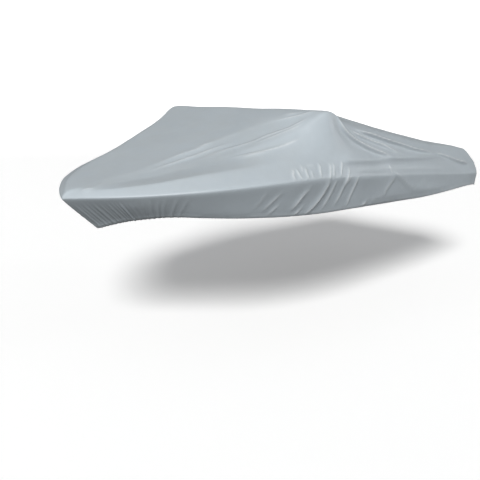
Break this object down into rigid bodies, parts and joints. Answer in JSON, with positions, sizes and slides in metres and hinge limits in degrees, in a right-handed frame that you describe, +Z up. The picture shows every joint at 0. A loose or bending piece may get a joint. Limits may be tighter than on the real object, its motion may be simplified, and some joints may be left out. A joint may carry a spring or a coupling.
{
  "type": "boat cover",
  "caption": "Fitted boat cover in coated cloth, drawn taut over a windscreen ridge, with a folded skirt gathered in under the bow.",
  "frame": {"origin": "under the cloth at the middle of the windscreen ridge, where the boat's windscreen carries it", "axes": "+X forward to the bow, +Y to port, +Z up"},
  "size_m": [4.099, 2.0292, 0.8066],
  "materials": {
    "coated_polyester": "silver grey coated polyester, matt with a soft sheen"
  },
  "bodies": {
    "root": {"cover_cloth": "coated_polyester"}
  },
  "joints": []
}
